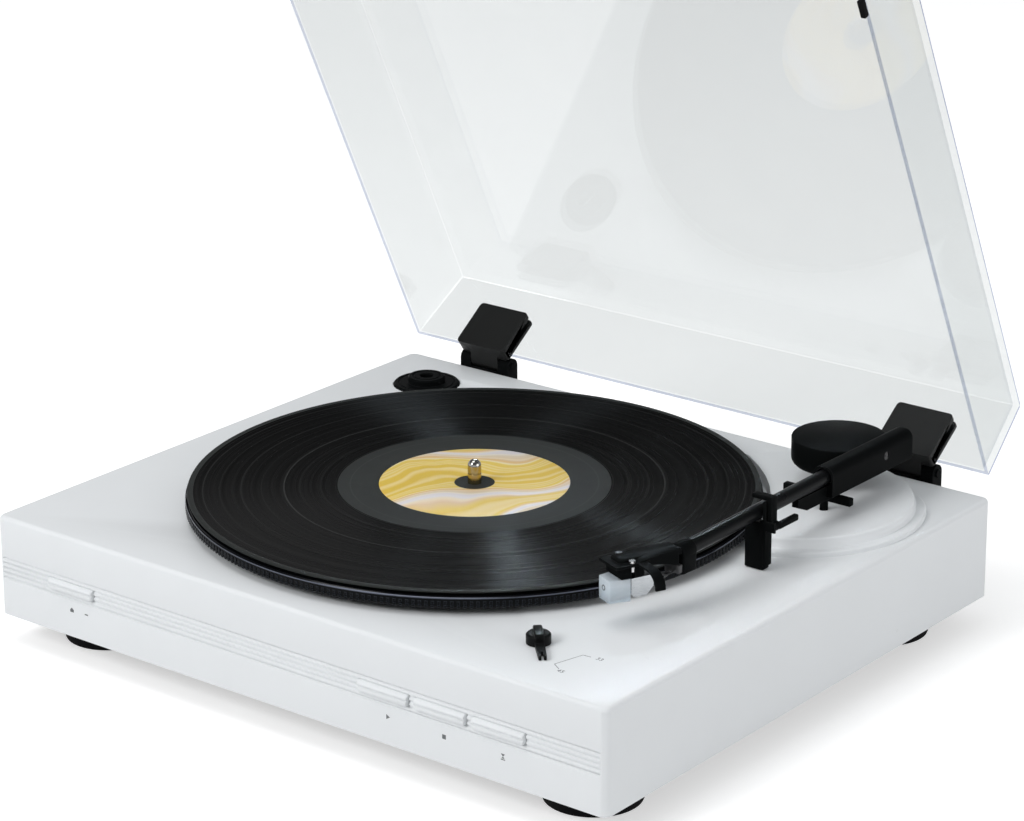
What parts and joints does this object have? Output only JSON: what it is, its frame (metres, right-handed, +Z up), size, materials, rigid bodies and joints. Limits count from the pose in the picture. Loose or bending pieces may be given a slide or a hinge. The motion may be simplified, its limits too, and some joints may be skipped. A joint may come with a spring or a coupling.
{
  "type": "automatic turntable",
  "caption": "Low off-white automatic record player with a hinged clear cover standing open, black record, offset black tonearm on its rest, speed lever and front push keys.",
  "frame": {"origin": "on the ground under the middle of the whole object with its cover open", "axes": "+X to the right seen from the front, along the plinth's width; +Y from the front keys to the hinges; +Z up"},
  "size_m": [0.4, 0.3818, 0.3999],
  "materials": {
    "white_plastic": "satin off-white moulding",
    "black_plastic": "satin black moulding",
    "dark_board": "dull dark board",
    "rubber_feet": "dull black rubber",
    "steel": "bright steel",
    "spindle_metal": "polished, slightly warm",
    "brass": "turned brass",
    "platter_metal": "black-coated casting",
    "mat": "thin dark felt",
    "gear_plastic": "natural self-lubricating plastic",
    "vinyl": "grooved glossy black",
    "label_paper": "marbled paper in yellow, peach and pale lavender",
    "tube_metal": "black satin tube",
    "cartridge_grey": "grey moulding",
    "terminal_plate": "dark plate with pins",
    "guard_clear": "clear, slightly blue",
    "wire_cover": "four coloured leads",
    "clear_cover": "clear polished cover",
    "circuit": "green circuit board",
    "connector": "dark connectors"
  },
  "bodies": {
    "chassis": {"plinth_shell": "white_plastic", "base_plate": "dark_board", "base_screw_front_left": "steel", "base_screw_front_right": "steel", "base_screw_rear_left": "steel", "base_screw_rear_right": "steel", "foot_front_left": "rubber_feet", "foot_front_right": "rubber_feet", "foot_rear_left": "rubber_feet", "foot_rear_right": "rubber_feet", "spindle_bearing": "brass", "drive_belt": "rubber_feet", "motor": "steel", "motor_bracket": "steel", "cam_post": "steel", "switch_board": "dark_board", "arm_rest_post": "black_plastic", "hinge_bracket_left": "black_plastic", "hinge_bracket_right": "black_plastic", "circuit_board": "circuit", "signal_jacks": "connector", "power_jack": "connector"},
    "platter": {"platter": "platter_metal", "slip_mat": "mat", "spindle": "spindle_metal", "hub_pinion": "gear_plastic"},
    "record": {"record_disc": "vinyl", "record_label": "label_paper"},
    "pulley": {"motor_pulley": "brass"},
    "cycle_gear": {"cycle_cam_gear": "gear_plastic"},
    "adapter": {"adapter_45": "black_plastic"},
    "selector": {"speed_selector": "black_plastic"},
    "power_key": {"key_power": "white_plastic"},
    "start_key": {"key_start": "white_plastic"},
    "stop_key": {"key_stop": "white_plastic"},
    "lift_key": {"key_lift": "white_plastic"},
    "arm_base": {"arm_pivot_drum": "black_plastic", "arm_lift_pin": "steel", "arm_crank": "steel"},
    "arm": {"arm_beam": "black_plastic", "counterweight": "steel", "arm_tube": "tube_metal", "headshell_plug": "black_plastic", "headshell": "black_plastic", "cartridge_screw_left": "steel", "cartridge_screw_right": "steel", "finger_lift": "black_plastic", "cartridge_mount": "black_plastic", "cartridge_body": "cartridge_grey", "cartridge_terminals": "terminal_plate", "stylus_guard": "guard_clear", "stylus": "steel", "headshell_wires": "wire_cover"},
    "cue": {"cue_lifter": "black_plastic"},
    "clip": {"arm_rest_clip": "black_plastic"},
    "cover": {"dust_cover": "clear_cover", "cover_bumper_left": "rubber_feet", "cover_bumper_right": "rubber_feet", "hinge_socket_left": "black_plastic", "hinge_socket_right": "black_plastic"}
  },
  "joints": [
    {"name": "platter_spin", "type": "hinge", "parent": "chassis", "child": "platter", "pos_m": [-0.0115, -0.0229, 0.0788], "axis": [0, 0, 1], "continuous": true},
    {"name": "record_lift", "type": "slide", "parent": "platter", "child": "record", "axis": [0, 0, 1], "range_m": [0, 0.03]},
    {"name": "pulley_spin", "type": "hinge", "parent": "chassis", "child": "pulley", "pos_m": [-0.08221, -0.09361, 0.0713], "axis": [0, 0, 1], "continuous": true},
    {"name": "cycle_turn", "type": "hinge", "parent": "chassis", "child": "cycle_gear", "pos_m": [0.01748, 0.00319, 0.058], "axis": [0, 0, 1], "range_deg": [-7, 7]},
    {"name": "adapter_lift", "type": "slide", "parent": "chassis", "child": "adapter", "axis": [0, 0, 1], "range_m": [0, 0.02]},
    {"name": "selector_turn", "type": "hinge", "parent": "chassis", "child": "selector", "pos_m": [0.1285, -0.1476, 0.0713], "axis": [0, 0, 1], "range_deg": [0, 39]},
    {"name": "key_power_press", "type": "slide", "parent": "chassis", "child": "power_key", "axis": [0, 1, 0], "range_m": [0, 0.0015], "stiffness_N_per_m": 300, "springref_m": -0.001},
    {"name": "key_start_press", "type": "slide", "parent": "chassis", "child": "start_key", "axis": [0, 1, 0], "range_m": [0, 0.0015], "stiffness_N_per_m": 300, "springref_m": -0.001},
    {"name": "key_stop_press", "type": "slide", "parent": "chassis", "child": "stop_key", "axis": [0, 1, 0], "range_m": [0, 0.0015], "stiffness_N_per_m": 300, "springref_m": -0.001},
    {"name": "key_lift_press", "type": "slide", "parent": "chassis", "child": "lift_key", "axis": [0, 1, 0], "range_m": [0, 0.0015], "stiffness_N_per_m": 300, "springref_m": -0.001},
    {"name": "arm_swing", "type": "hinge", "parent": "chassis", "child": "arm_base", "pos_m": [0.1325, 0.1061, 0.0885], "axis": [0, 0, 1], "range_deg": [-36, 0]},
    {"name": "arm_lift", "type": "hinge", "parent": "arm_base", "child": "arm", "pos_m": [0.157, 0.1046, 0.1], "axis": [-1, 0, 0], "range_deg": [0, 1.5]},
    {"name": "cue_rise", "type": "slide", "parent": "chassis", "child": "cue", "axis": [0, 0, 1], "range_m": [0, 0.0011]},
    {"name": "clip_turn", "type": "hinge", "parent": "chassis", "child": "clip", "pos_m": [0.1665, -0.0069, 0.0955], "axis": [0, 1, 0], "range_deg": [0, 60]},
    {"name": "cover_hinge", "type": "hinge", "parent": "chassis", "child": "cover", "pos_m": [0, 0.1561, 0.075], "axis": [-1, 0, 0], "range_deg": [-64.5, 0]}
  ],
  "couplings": [
    {"joint": "pulley_spin", "follows": "platter_spin", "ratio": 11.308},
    {"joint": "cue_rise", "follows": "arm_lift", "m_per_rad": 0.039}
  ]
}
